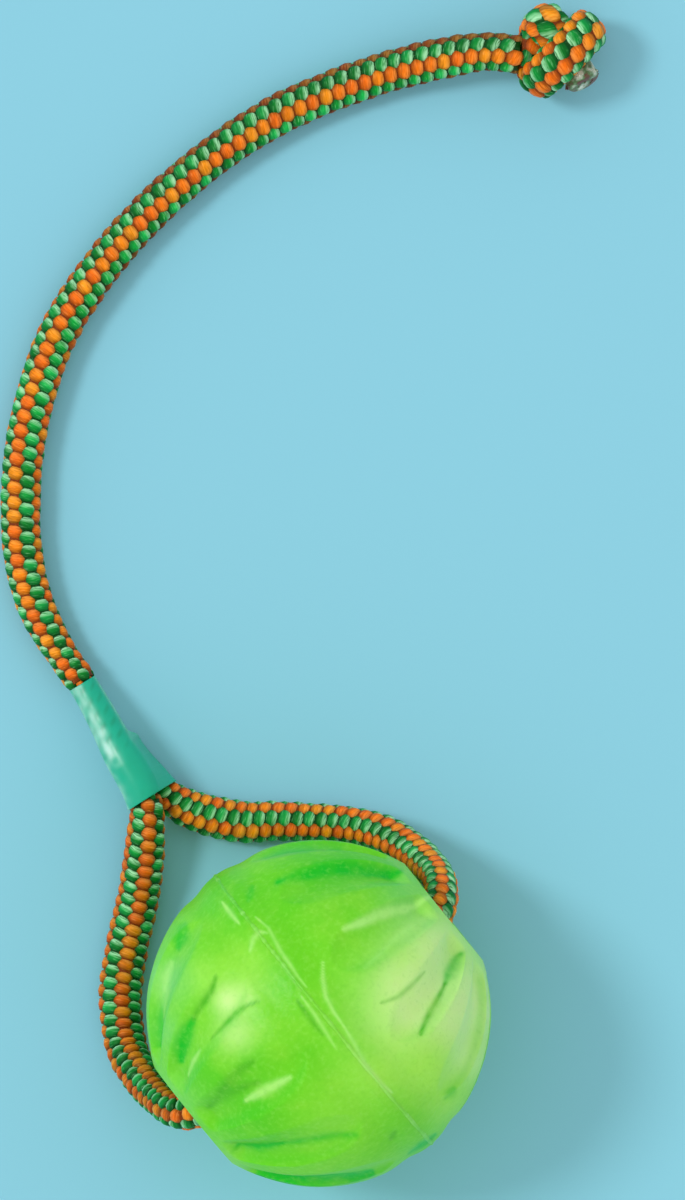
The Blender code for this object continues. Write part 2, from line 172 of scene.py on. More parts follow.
def smoothLine(route, steps=24):  # centripetal Catmull-Rom through every point, thickness included
    points = [np.array(point, float) for point in route]
    points = [2 * points[0] - points[1]] + points + [2 * points[-1] - points[-2]]
    line, marks = [points[1]], [0]
    for p0, p1, p2, p3 in zip(points, points[1:], points[2:], points[3:]):
        t1 = np.linalg.norm(p1[:3] - p0[:3]) ** 0.5
        t2 = t1 + np.linalg.norm(p2[:3] - p1[:3]) ** 0.5
        t3 = t2 + np.linalg.norm(p3[:3] - p2[:3]) ** 0.5
        for t in np.linspace(t1, t2, steps + 1)[1:]:
            a1 = p0 + (p1 - p0) * t / t1
            a2 = p1 + (p2 - p1) * (t - t1) / (t2 - t1)
            a3 = p2 + (p3 - p2) * (t - t2) / (t3 - t2)
            b1 = a1 + (a2 - a1) * t / t2
            b2 = a2 + (a3 - a2) * (t - t1) / (t3 - t1)
            line.append(b1 + (b2 - b1) * (t - t1) / (t2 - t1))
        marks.append(len(line) - 1)
    return np.array(line), marks


def lengthsAlong(line):
    return np.concatenate([[0.0], np.cumsum(np.linalg.norm(np.diff(line[:, :3], axis=0), axis=1))])


def pointsAt(line, lengths, wanted):
    return np.stack([np.interp(wanted, lengths, column) for column in line.T], axis=1)


def unit(vectors):
    return vectors / np.linalg.norm(vectors, axis=-1, keepdims=True)


def squareTo(alongs, vectors):
    return unit(vectors - alongs * np.sum(vectors * alongs, axis=-1, keepdims=True))


def placedAtKnot(route, thickness):
    turned = Matrix.Rotation(math.radians(knot["heading"]), 3, "Z")
    return [(*(Vector(knot["centre"]) + turned @ Vector(point)), thickness) for point in route]


knotShare = knot["strand"] / rope["diameter"]
knotPlaced = placedAtKnot(knotRoute, knotShare)
wholeRoute = sum(ropeRoutes.values(), [])
wholeLine, marks = smoothLine(wholeRoute + knotPlaced)
wholeLengths = lengthsAlong(wholeLine)
lastPoints = np.cumsum([len(route) for route in ropeRoutes.values()]) - 1
joins = [wholeLengths[marks[k]] for k in lastPoints]
joins[-1] = wholeLengths[marks[len(wholeRoute)]]
joins = [0.0, *joins, wholeLengths[-1]]
stretchNames = [*ropeRoutes, "knot"]
stretches = {name: (joins[k], joins[k + 1]) for k, name in enumerate(stretchNames)}


# Frames along the rope, carried on without twist and then turned so that the columns lie as wanted

columnTurns = [  # stretch, share of its length, turn of a green column from the top to the rope's left
    ("rightLeg", 0.15, 12),
    ("rightLeg", 0.60, 8),
    ("leftLeg", 0.40, 37),
    ("leftLeg", 0.95, 32),
    ("tail", 0.04, -22.5),
    ("tail", 0.30, -22.5),
    ("tail", 0.60, 29),
    ("tail", 0.96, 29),
]


def carriedFrames(points):
    along = unit(np.gradient(points[:, :3], axis=0))
    up = np.array((0.0, 0.0, 1.0))
    ups = []
    for direction in along:
        up = unit(up - direction * up.dot(direction))
        ups.append(up)
    ups = np.array(ups)
    return along, ups, np.cross(ups, along)


stations = np.arange(0, wholeLengths[-1] + rope["step"] / 2, rope["step"])
ropePoints = pointsAt(wholeLine, wholeLengths, stations)
alongs, carriedUps, carriedLefts = carriedFrames(ropePoints)
turnStations, turns = [], []
for name, share, wantedTurn in columnTurns:
    start, end = stretches[name]
    station = start + (end - start) * share
    k = int(round(station / rope["step"]))
    plainUp = unit(np.array((0.0, 0.0, 1.0)) - alongs[k] * alongs[k][2])
    plainLeft = np.cross(plainUp, alongs[k])
    already = math.degrees(math.atan2(carriedUps[k].dot(plainLeft), carriedUps[k].dot(plainUp)))
    turn = wantedTurn - already
    if turns:
        turn -= 90 * round((turn - turns[-1]) / 90)  # every other column has the same colour
    turnStations.append(station)
    turns.append(turn)
ropeTurn = np.radians(np.interp(stations, turnStations, turns))[:, None]
ropeUps = np.cos(ropeTurn) * carriedUps + np.sin(ropeTurn) * carriedLefts
ropeLefts = np.cos(ropeTurn) * carriedLefts - np.sin(ropeTurn) * carriedUps


# Braid: plump stitches in eight columns round a dark core, made straight and bent along the rope

stitch = {
    "columns": 8,
    "pitch": 0.00308,
    "halfLength": 0.00186,
    "halfWidth": 0.00160,
    "halfHeight": 0.00112,
    "squareness": 2.7,  # 2 is an ellipsoid, more is boxier
    "lean": 76,  # degrees from the rope's own direction
    "tuck": 90.0,  # how much the ends bend down, per metre
    "height": 0.00356,  # of its middle from the rope's
    "waviness": 0.00012,
}
core = {"radius": 0.00403, "sides": 24, "step": 0.0015}
greens = [srgb(2, 142, 44), srgb(8, 156, 56), srgb(0, 128, 36), srgb(18, 170, 70)]
oranges = [srgb(255, 138, 0), srgb(255, 124, 0), srgb(255, 152, 10), srgb(252, 114, 0)]
# painted shade: the core's tones are darker than the yarn's, standing for the shade in the gaps between
# stitches
greenGapShade, orangeGapShade = srgb(2, 74, 8), srgb(140, 56, 0)
# painted highlight: the palest tone of each yarn
yarnHighlight = {"orange": srgb(255, 182, 76), "green": srgb(178, 244, 186)}
yarn = {  # where a change of tone starts and ends, and its strength there
    "rim": (0.27, 0.48, 1.0, 0.56),  # painted shade: darker from the stitch's middle outwards
    "front": (0.4, 0.85, 1.12, 0.5),  # painted light and shade: lighter at the stitch's back, darker at its front
    # painted highlight: a pale patch at the stitch's back
    "behind": (0.24, 0.47, 0.95, 0.0),
    "shade": (0.3, 0.7, 0.66, 1.26),  # by the fibres' noise
    # painted glints: pale specks on the fibres
    "specks": (0.58, 0.76, 0.0, 0.4),
    # how the painted highlight breaks into patches
    "broken": (0.36, 0.56, 0.15, 1.0),
    "green": (0.12, 0.28, 0.25, 1.0),  # by hue: the painted highlight is strongest on green stitches
}
chance = random.Random(11)


def mixColours(tree, factor, first, second):  # first and second are sockets or colours
    mixed = tree.nodes.new("ShaderNodeMix")
    mixed.data_type = "RGBA"
    for slot, colour in (("Factor", factor), ("A", first), ("B", second)):
        if isinstance(colour, bpy.types.NodeSocket):
            tree.links.new(colour, mixed.inputs[slot])
        else:
            mixed.inputs[slot].default_value = colour
    return mixed.outputs["Result"]


def ranged(tree, value, low, high, toLow, toHigh):
    made = tree.nodes.new("ShaderNodeMapRange")
    made.inputs["From Min"].default_value = low
    made.inputs["From Max"].default_value = high
    made.inputs["To Min"].default_value = toLow
    made.inputs["To Max"].default_value = toHigh
    tree.links.new(value, made.inputs["Value"])
    return made.outputs["Result"]


def combined(tree, operation, first, second):  # first is a socket, second a socket or a number
    made = tree.nodes.new("ShaderNodeMath")
    made.operation = operation
    tree.links.new(first, made.inputs[0])
    if isinstance(second, bpy.types.NodeSocket):
        tree.links.new(second, made.inputs[1])
    else:
        made.inputs[1].default_value = second
    return made.outputs["Value"]


def attributeOf(tree, name):
    made = tree.nodes.new("ShaderNodeAttribute")
    made.attribute_name = name
    return made.outputs


def noiseOf(tree, vector, scale, detail, w=None):
    made = tree.nodes.new("ShaderNodeTexNoise")
    made.inputs["Scale"].default_value = scale
    made.inputs["Detail"].default_value = detail
    tree.links.new(vector, made.inputs["Vector"])
    if w:
        made.noise_dimensions = "4D"
        tree.links.new(w, made.inputs["W"])
    return made.outputs["Fac"]


def bumped(tree, height, strength, distance, shader):
    bump = tree.nodes.new("ShaderNodeBump")
    bump.inputs["Strength"].default_value = strength
    bump.inputs["Distance"].default_value = distance
    tree.links.new(height, bump.inputs["Height"])
    tree.links.new(bump.outputs["Normal"], shader.inputs["Normal"])


def newMaterial(name, **settings):
    material = bpy.data.materials.new(name)
    material.use_nodes = True
    tree = material.node_tree
    shader = tree.nodes["Principled BSDF"]
    for label, value in settings.items():
        shader.inputs[label.replace("_", " ")].default_value = value
    return material, tree, shader


def braidMaterial():
    material, tree, shader = newMaterial("braided_polypropylene", Roughness=0.5, Specular_IOR_Level=0.18)
    tint = attributeOf(tree, "stitchColour")
    ownPlace = combined(tree, "MULTIPLY", tint["Alpha"], 40)  # in the noise, for each stitch
    fibreUv = tree.nodes.new("ShaderNodeUVMap")
    fibreUv.uv_map = "fibre"
    stretched = tree.nodes.new("ShaderNodeMapping")
    stretched.inputs["Scale"].default_value = (2.0, 13.0, 1.0)
    tree.links.new(fibreUv.outputs["UV"], stretched.inputs["Vector"])
    fibres = noiseOf(tree, stretched.outputs["Vector"], 1.0, 2.0, ownPlace)
    fromMiddle = tree.nodes.new("ShaderNodeVectorMath")
    fromMiddle.operation = "DISTANCE"
    fromMiddle.inputs[1].default_value = (0.5, 0.5, 0)
    tree.links.new(fibreUv.outputs["UV"], fromMiddle.inputs[0])
    onStitch = tree.nodes.new("ShaderNodeSeparateXYZ")
    tree.links.new(fibreUv.outputs["UV"], onStitch.inputs["Vector"])
    parts = tree.nodes.new("ShaderNodeSeparateColor")
    parts.mode = "HSV"
    tree.links.new(tint["Color"], parts.inputs["Color"])
    rim = ranged(tree, fromMiddle.outputs["Value"], *yarn["rim"])
    front, behind = (ranged(tree, onStitch.outputs["Y"], *yarn[name]) for name in ("front", "behind"))
    shade, specks, broken = (ranged(tree, fibres, *yarn[name]) for name in ("shade", "specks", "broken"))
    green = ranged(tree, parts.outputs["Red"], *yarn["green"])  # in this mode Red is the hue

    # painted shade towards the stitch's rim and front, painted highlight at its back and in pale specks
    paintedShade = combined(tree, "MULTIPLY", rim, front)
    shaded = tree.nodes.new("ShaderNodeVectorMath")
    shaded.operation = "SCALE"
    tree.links.new(tint["Color"], shaded.inputs[0])
    tree.links.new(combined(tree, "MULTIPLY", paintedShade, shade), shaded.inputs["Scale"])
    patchy = combined(tree, "MULTIPLY", behind, broken)
    backHighlight = combined(tree, "MULTIPLY", patchy, green)
    highlightShare = combined(tree, "MAXIMUM", specks, backHighlight)
    highlightTone = mixColours(tree, green, yarnHighlight["orange"], yarnHighlight["green"])
    colour = mixColours(tree, highlightShare, shaded.outputs["Vector"], highlightTone)
    tree.links.new(colour, shader.inputs["Base Color"])
    bumped(tree, fibres, 0.5, 0.00025, shader)
    return material


def standingCone(bm, sides, foot, top, length):  # on the floor, closed at both ends
    middle = Matrix.Translation((0, 0, length / 2))
    return bmesh.ops.create_cone(
        bm, cap_ends=True, segments=sides, radius1=foot, radius2=top, depth=length, matrix=middle
    )["verts"]


def stitchTemplate():  # one bead of yarn, lying on the floor with its long side along x
    bm = bmesh.new()
    poles = Matrix.Rotation(math.pi / 2, 4, "Y")
    bmesh.ops.create_uvsphere(bm, u_segments=8, v_segments=6, radius=1, matrix=poles)
    uvs = bm.loops.layers.uv.new("fibre")
    for face in bm.faces:
        for loop in face.loops:
            loop[uvs].uv = (0.5 + loop.vert.co.x / 2, 0.5 + loop.vert.co.y / 2)
    power = stitch["squareness"]
    for vert in bm.verts:
        vert.co /= sum(abs(part) ** power for part in vert.co) ** (1 / power)
    size = (stitch["halfLength"], stitch["halfWidth"], stitch["halfHeight"])
    bmesh.ops.scale(bm, verts=bm.verts, vec=size)
    for vert in bm.verts:
        vert.co.z -= stitch["tuck"] * vert.co.x ** 2
    return meshOf(bm, "stitch")


def courseTemplate():  # one stitch in every column, round a straight rope along z
    bm = bmesh.new()
    bm.loops.layers.uv.new("fibre")
    turned = Matrix.Rotation(math.radians(stitch["lean"] - 90), 4, "Z")
    flat = Matrix(((1, 0, 0, 0), (0, 0, 1, 0), (0, -1, 0, 0), (0, 0, 0, 1)))  # across, along, out
    each = len(bead.vertices)
    for column in range(stitch["columns"]):
        out = Matrix.Translation((0, stitch["height"], (0.25 + 0.5 * (column % 2)) * stitch["pitch"]))
        around = Matrix.Rotation(-2 * math.pi * column / stitch["columns"], 4, "Z")
        bm.from_mesh(bead)
        bm.verts.ensure_lookup_table()
        bmesh.ops.transform(bm, verts=bm.verts[-each:], matrix=around @ out @ flat @ turned)
    return meshOf(bm, "course")


def bentAlongRope(straight, start, roll, flatten, line):
    at = np.clip((start + straight[:, 2]) / rope["step"], 0, len(line["points"]) - 1.001)
    low = at.astype(int)
    share = (at - low)[:, None]

    def between(values):
        return values[low] * (1 - share) + values[low + 1] * share

    points = between(line["points"])
    thick = points[:, 3:4]
    cosine, sine = math.cos(math.radians(roll)), math.sin(math.radians(roll))
    across, out = straight[:, 0:1], straight[:, 1:2]
    sideways = (across * cosine + out * sine) * thick * flatten[0]
    upwards = (out * cosine - across * sine) * thick * flatten[1]
    lefts, ups = unit(between(line["lefts"])), unit(between(line["ups"]))
    return points[:, :3] + sideways * lefts + upwards * ups


def braid(name, start, end, line, pitch=1.0, flatten=(1.0, 1.0), roll=0.0, paintedShading=None):
    rows = max(1, round((end - start) / (stitch["pitch"] * pitch)))
    length = rows * stitch["pitch"]  # stretched to its own length with the beads on it
    bm = bmesh.new()
    bm.loops.layers.uv.new("fibre")
    standingCone(bm, core["sides"], core["radius"], core["radius"], length)
    lengthwise = [edge for edge in bm.edges if edge.calc_length() > length / 2]
    bmesh.ops.subdivide_edges(bm, edges=lengthwise, cuts=int(length / core["step"]), use_grid_fill=True)
    uvs = bm.loops.layers.uv["fibre"]
    for face in bm.faces:
        for loop in face.loops:
            loop[uvs].uv = (0.5, 0.5)
    colours = []
    for vert in bm.verts:
        column = round(math.atan2(vert.co.x, vert.co.y) / (2 * math.pi) * stitch["columns"])
        # painted shade: the core takes the darker gap tones
        gapShade = orangeGapShade if column % 2 else greenGapShade
        colours.append((*gapShade[:3], chance.random()))
    each, whole = len(bead.vertices), len(course.vertices)
    for row in range(rows):
        bm.from_mesh(course)
        bm.verts.ensure_lookup_table()
        bmesh.ops.translate(bm, verts=bm.verts[-whole:], vec=(0, 0, row * stitch["pitch"]))
        for column in range(stitch["columns"]):
            tone = chance.choice(oranges if column % 2 else greens)
            light = chance.uniform(0.93, 1.07)
            # painted light and shade on some columns
            if paintedShading and column in paintedShading:
                light *= np.interp(row / rows, *paintedShading[column])
            colours += [(*(light * part for part in tone[:3]), chance.random())] * each
    mesh = meshOf(bm, name)
    straight = pointPlaces(mesh)
    beads = rows * stitch["columns"]
    sway = np.repeat([chance.uniform(-1, 1) for _ in range(beads)], each) * stitch["waviness"]
    lift = np.repeat([chance.uniform(-0.5, 1) for _ in range(beads)], each) * stitch["waviness"]
    straight[-beads * each :, 2] += sway
    straight[-beads * each :, :2] *= 1 + lift[:, None] / stitch["height"]
    straight[:, 2] *= (end - start) / length
    bent = bentAlongRope(straight, start, roll, flatten, line)
    mesh.vertices.foreach_set("co", bent.ravel())
    tintPoints(mesh, "stitchColour", np.array(colours, float))
    mesh.shade_smooth()
    mesh.update()
    made = addObject(name, mesh, ropeFinish)
    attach(made, "rope")
    print("braided", name, rows, "rows,", len(mesh.polygons), "faces")
    return made


ropeFinish = braidMaterial()
bead = stitchTemplate()
course = courseTemplate()


# The rope swells out again above the sleeve, and is squeezed inside it

squeezed = ropePoints.copy()
tailStart, tailEnd = stretches["tail"]
nearSleeve = (stations >= tailStart) & (stations < tailStart + rope["swellRun"])
squeezed[nearSleeve, 3] = np.maximum(squeezed[nearSleeve, 3], rope["swollen"])
nearKnot = stations > tailEnd - rope["knotRun"]
squeezed[nearKnot, 3] = np.maximum(squeezed[nearKnot, 3], rope["knotSwollen"])
ropeRun = {"points": squeezed, "lefts": ropeLefts, "ups": ropeUps}

tailLightAndShade = {  # painted light and shade, darker near the rope's edges and lighter on one column: column of stitches: shares of the stretch's length, and how light they are there
    0: ((0.5, 0.7), (1.0, 0.9)),
    1: ((0.3, 0.55), (1.0, 0.3)),
    5: ((0.3, 0.5), (1.0, 0.3)),
    6: ((0.1, 0.4), (1.0, 1.5)),
}
leftLegShade = dict.fromkeys((1, 3, 5, 7), ((0, 1), (0.78, 0.78)))  # painted shade: the left leg's orange columns are darker
tail = braid("hand_rope", *stretches["tail"], ropeRun, pitch=rope["tailPitch"], paintedShading=tailLightAndShade)
rightLeg = braid("loop_right_leg", *stretches["rightLeg"], ropeRun)
leftLeg = braid("loop_left_leg", *stretches["leftLeg"], ropeRun, paintedShading=leftLegShade)
throughBall = braid("rope_in_bore", *stretches["throughBall"], ropeRun)
inSleeve = braid("rope_in_splice", *stretches["inSleeve"], ropeRun, flatten=(0.74, 0.74))
returnEnd = braid("rope_tucked_end", *stretches["returnEnd"], ropeRun, flatten=(0.56, 0.66))
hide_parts("rope_tail")
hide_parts("rope_leg_right")
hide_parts("rope_leg_left")
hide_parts("rope_through_ball")
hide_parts("rope_in_sleeve")
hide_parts("rope_return_end")


# Knot: the same rope pulled flat and tight, as an overhand knot with its wide turn in front

knotShape = [  # from the knot's centre: on along the rope, to its left, up
    (-0.0098, 0.0001, 0.0003), (-0.0056, -0.0002, -0.0006), (-0.0014, 0.0, -0.0030),
    (0.0026, 0.0012, -0.0046), (0.0056, 0.0036, -0.0036), (0.0068, 0.0054, -0.0002),
    (0.0064, 0.0050, 0.0040), (0.0042, 0.0024, 0.0066), (0.0011, -0.0010, 0.0076),
    (-0.0021, -0.0040, 0.0066), (-0.0046, -0.0062, 0.0034), (-0.0057, -0.0070, -0.0008),
    (-0.0056, -0.0048, -0.0052), (-0.0056, 0.0000, -0.0070), (-0.0054, 0.0044, -0.0054),
    (-0.0050, 0.0072, -0.0012), (-0.0040, 0.0074, 0.0030), (-0.0018, 0.0044, 0.0040),
    (0.0006, 0.0010, 0.0018), (0.0026, -0.0020, 0.0000), (0.0040, -0.0044, 0.0006),
]
knotLine, _ = smoothLine(placedAtKnot(knotShape, 1.0))
knotLengths = lengthsAlong(knotLine)
knotStations = np.arange(0, knotLengths[-1] + rope["step"] / 2, rope["step"])
knotPoints = pointsAt(knotLine, knotLengths, knotStations)
knotPoints[:, 3] = np.interp(knotStations, *knot["thickness"])
knotAlongs = unit(np.gradient(knotPoints[:, :3], axis=0))
outwards = unit(knotPoints[:, :3] - np.array(knot["centre"]))
outwards[: int(knot["entry"] / rope["step"])] = (0, 0, 1)
knotUps = squareTo(knotAlongs, outwards)
for _ in range(knot["evening"]):  # so that the strand doesn't wring near the knot's middle
    knotUps[1:-1] = unit(knotUps[:-2] + knotUps[1:-1] + knotUps[2:])
    knotUps = squareTo(knotAlongs, knotUps)
knotRun = {"points": knotPoints, "lefts": np.cross(knotUps, knotAlongs), "ups": knotUps}
knotPiece = braid("hand_knot", 0.0, knotLengths[-1], knotRun, knot["pitch"], knot["flatten"], knot["roll"])
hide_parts("tail_knot")


# Ball: two rubber shells spun round the bore, with grooves scooped out of their outer faces

ball = {
    "radius": 0.0412,
    "wall": 0.007,
    "mouthRadius": 0.008,
    "mouthLip": 0.0042,
    "landWidth": 0.0027,
    "innerChamfer": 0.0008,
    "weldPlane": 0.0015,
    "weldOverlap": 0.00001,
    "fineRun": 0.0036,  # beside the weld, where the rings are close together
    "fineStep": 0.00015,
    "stepsPerGroove": 40,
    "outerSteps": 96,
    "lipSteps": 10,
    "innerSteps": 18,
    "waistDepth": 0.0007,  # the soft hollow on both sides of the weld
    "waistPlace": 0.0070,
    "waistWidth": 0.0034,
    "cheek": 0.0002,  # how far the pads swell past the sphere, and where, from the weld plane
    "cheekStart": (0.010, 0.018),
    "cheekEnd": (0.028, 0.036),
}
groove = {
    "count": 11,
    "phase": 5.5,  # degrees from straight up to the left half's first groove
    "depth": 0.0021,
    "innerShare": 0.5,  # of the depth at the inner end
    "deepening": (0.012, 0.034),
    "start": 0.0092,  # from the weld plane
    "startRun": 0.0085,
    "endRun": 0.0018,
    "margin": 0.0012,
    "halfAngles": ((0.010, 0.018, 0.028, 0.037), (8.0, 10.2, 11.6, 11.8)),
    "lean": 0.45,  # how much deeper a groove lies on the side away from the top
    "walls": (0.8, 0.25),  # middle and spread of the walls' painted shade across the groove
    "wallShadeTone": srgb(10, 200, 16),
    "wallShadeShares": {-1: 0.05, 1: 0.65},
    "topFade": 0.6,  # how much weaker the walls' painted shade is on top
}
weld = {  # flash along the weld, with a second thinner line on the left half
    "line": {"middle": ball["weldPlane"], "width": 0.0005, "seed": 0.3, "cover": 0.55},
    "secondLine": {"middle": -0.0012, "width": 0.0003, "seed": 4.1, "cover": 0.05},
    "secondShare": 0.8,
    "rise": 0.00012,
    "tone": srgb(150, 236, 90),
    "toneShare": 0.3,
}


# Moulding marks, tone patches and painted highlight, glow, sheen and shade on the ball's upper side, in
# mm: x along the bore, y across it

rubberBase = srgb(124, 222, 24)
patches = {  # tone, then x, y, radius, strength
    # painted highlight on the upper left, and painted glow of light coming through the rubber on the right
    # side
    "paintedGlowAndHighlight": (srgb(218, 255, 160), [
        (20.5, -14.2, 13, 1), (30.8, -20.5, 10, 1), (32.1, -4.7, 9, 0.9), (20.4, -6.4, 6, 0.6),
        (21.9, -21.9, 7, 0.8), (21.2, -30.7, 6, 0.8), (-14.1, 17.1, 3.8, 1), (-10, 15.8, 3.2, 0.6),
        (-17.8, 9.4, 5, 0.6),
    ]),
    # painted glow: lighter yellow-green where light comes through the rubber
    "light": (srgb(174, 242, 84), [
        (13.1, -24.9, 8, 0.9), (10.5, -36.1, 7, 0.7), (1.2, -17.5, 8, 0.5), (-5.5, 19.8, 7, 0.6),
        (-15.4, 25, 5, 0.6), (-38.3, -12.3, 5, 0.5), (-12.6, -21.9, 9, 0.3),
    ]),
    # painted sheen: pale mint near the ball's edges
    "paintedEdgeSheen": (srgb(130, 222, 100), [
        (-22.4, 29.1, 6, 0.9), (-30.8, 20.5, 4.5, 0.8), (34.6, 11, 6, 0.7), (-38.6, 6.1, 6, 0.6),
    ]),
    "deep": (srgb(94, 210, 16), [
        (25.1, 27.7, 12, 0.8), (15, 24.7, 10, 0.6), (0.3, 35.1, 8, 0.8), (-28.9, 5.3, 6, 0.8),
        (-20.2, -1.4, 6, 0.5), (-28.1, -9.5, 9, 0.95), (-8.6, -4.4, 5, 0.4), (0.2, 12.7, 6, 0.6),
        (0.5, -34.2, 7, 0.3),
    ]),
}
mouldMarksAndPaintedShading = {  # tone, height in metres, then route, half width, strength
    # painted shade: dark strokes along the grooves' walls, over a shallow real hollow
    "grooveEdgeShade": (srgb(18, 200, 22), -0.0003, [
        ([(12.5, 31.1), (17.4, 29.2), (23, 26.7), (27.3, 24.1),
          (31, 20.8), (34.6, 17.3), (36.7, 14.3)], 1.1, 0.85),
        ([(14, 37.8), (18.8, 35.8), (23.1, 33.2), (29.4, 28.2)], 0.7, 0.5),
        ([(4.3, 32), (5.9, 33.2), (7.5, 34.4)], 0.7, 0.5),
        ([(-16.3, 34.3), (-14, 35.6), (-11, 37)], 1.1, 0.8),
        ([(-35.5, 18.8), (-32.2, 22.7), (-28.5, 26.2), (-26, 28)], 0.8, 0.6),
        ([(-33.8, 12.8), (-31, 15.1), (-27.2, 17.3), (-24.3, 18.8)], 1, 1),
        ([(-35.8, -12.5), (-32, -15.8), (-26.7, -18.8)], 1.1, 0.85),
        ([(-26.7, -18.8), (-21.3, -21.6), (-16.8, -23.9), (-10.8, -27.6)], 0.9, 0.5),
        ([(-36, -20.5), (-31.4, -26.1), (-25.2, -31.1), (-18.7, -35.7), (-14, -37.9)], 0.9, 0.95),
        ([(29.5, -13.4), (33.1, -11.3), (36.1, -10.1)], 0.9, 0.55),
        ([(-4.2, -40), (-0.6, -39.6), (3.6, -39.9)], 0.7, 0.8),
        ([(11.1, -34.6), (14.2, -33.9)], 0.8, 0.4),
    ]),
    # painted shade: darker creases, over a shallow real hollow
    "creaseShade": (srgb(82, 188, 10), -0.0002, [
        ([(-24.3, 18.8), (-20.8, 19.9), (-16, 21.1), (-12.6, 22.9)], 0.6, 0.65),
        ([(-23.2, 12.3), (-18.9, 12.7), (-14.7, 13.2), (-11.1, 12.9), (-8.5, 12.1)], 0.5, 0.65),
        ([(-29.9, 0.9), (-25.6, 1.5), (-21.3, 2), (-18.8, 1.9)], 1.2, 0.6),
        ([(-34.9, -0.4), (-31.9, 0), (-28.6, -0.7), (-24.5, -1.9), (-21.5, -3)], 1.2, 0.6),
        ([(16.3, -18.5), (20.4, -16.7), (24.8, -15.2), (29.5, -13.4)], 0.6, 0.65),
        ([(13.8, -6.6), (17.8, -8), (22.3, -8), (26.5, -7.6)], 0.5, 0.4),
        ([(-5.2, -34.1), (-3.1, -33.1)], 0.7, 0.5),
        ([(-1.2, 6.3), (-1.5, 2), (-1.6, -3.6)], 0.7, 0.5),
    ]),
    # raised pale lines: real flash along the weld, and painted highlights along some groove edges
    "flash": (srgb(180, 244, 124), 0.00018, [
        ([(17.9, 12.5), (21.9, 11.2), (26.2, 10.2), (29.6, 8.9), (33.7, 6.8), (37.7, 5.3)], 0.9, 0.9),
        ([(-26.7, -4.7), (-23.3, -5.2), (-18.9, -6.1), (-14.3, -6.8)], 0.9, 0.95),
        ([(9.3, 9.8), (6.5, 6.3), (4.6, 2.8), (3.8, -1), (3.5, -5.2)], 0.45, 0.65),
        ([(3.5, -5.2), (2.7, -10.9), (1.7, -15.3), (1.8, -20.6), (2.3, -24.7)], 0.5, 0.65),
        ([(-30.1, 23.7), (-26.8, 27.4), (-23.1, 30.8), (-19.7, 32.6)], 0.9, 0.6),
        ([(-0.7, 35.3), (-0.7, 32.2), (-0.6, 29)], 0.5, 0.7),
        ([(-2.7, 22.5), (-0.1, 24.2), (2, 24.4), (3.1, 23.3)], 0.5, 0.6),
        ([(3.4, 27.7), (4.2, 23.9), (3.1, 17.9), (2.5, 10.8), (2.5, 7.7)], 0.4, 0.5),
        ([(0.2, 6.4), (0, 1.5), (-0.6, -3.2), (-1.2, -7.8)], 0.45, 0.45),
        ([(16, 2.4), (21.2, 2.5), (28.1, 3.1), (32.7, 2.5)], 0.5, 0.5),
        ([(-33.7, 8.9), (-31, 10.7), (-27.4, 11.8)], 0.6, 0.6),
    ]),
}
markLook = {
    "spread": 1.35,  # of the tone, in half widths
    "reliefSpread": 1.2,
    "tips": 0.45,  # how wide a mark still is at its ends
    "strength": 1.2,
    "patchiness": 0.4,
    "grain": 500,
}

landRadius = ball["mouthRadius"] + ball["mouthLip"] + ball["landWidth"]
landDistance = math.sqrt(ball["radius"] ** 2 - landRadius**2)
grooveEnd = landDistance - groove["margin"]
groovePitch = 2 * math.pi / groove["count"]


def arc(centreX, centreR, radius, start, end, steps):
    return [
        (centreX + radius * math.cos(angle), centreR + radius * math.sin(angle))
        for angle in np.linspace(start, end, steps + 1)
    ]


def halfSection(side):  # x, r: out over the ball from the weld, and in through the bore
    inner = ball["radius"] - ball["wall"]
    rim = side * ball["weldPlane"] - ball["weldOverlap"]
    boreEnd = math.sqrt(inner**2 - ball["mouthRadius"] ** 2)
    lip = min(ball["mouthLip"], landDistance - boreEnd - ball["innerChamfer"])
    landAngle = math.acos(landDistance / ball["radius"])
    fine = rim + np.arange(0, ball["fineRun"], ball["fineStep"])
    near = [(x, math.sqrt(ball["radius"] ** 2 - x**2)) for x in fine]
    start = math.acos((near[-1][0] + 2 * ball["fineStep"]) / ball["radius"])
    outside = arc(0, 0, ball["radius"], start, landAngle, ball["outerSteps"])
    landInner = ball["mouthRadius"] + lip
    landOuter = outside[-1][1]
    land = [(landDistance, landOuter + (landInner - landOuter) * share) for share in (0.15, 0.5, 0.85)]
    mouth = arc(landDistance - lip, landInner, lip, 0.0, -math.pi / 2, ball["lipSteps"])
    chamfer = math.asin((ball["mouthRadius"] + ball["innerChamfer"]) / inner)
    bore = [(boreEnd + ball["innerChamfer"] / 2, ball["mouthRadius"])]
    inside = arc(0, 0, inner, chamfer, math.acos(rim / inner), ball["innerSteps"])
    return near + outside + land + mouth + bore + inside


def eased(low, high, values):
    share = np.clip((values - low) / (high - low), 0, 1)
    return share * share * (3 - 2 * share)


def hump(values, middle, width):
    return np.exp(-(((values - middle) / width) ** 2))


def swell(fromWeld):  # the outer face against the sphere, before the grooves
    waist = ball["waistDepth"] * hump(fromWeld, ball["waistPlace"], ball["waistWidth"])
    cheek = eased(*ball["cheekStart"], fromWeld) * (1 - eased(*ball["cheekEnd"], fromWeld))
    return ball["cheek"] * cheek - waist


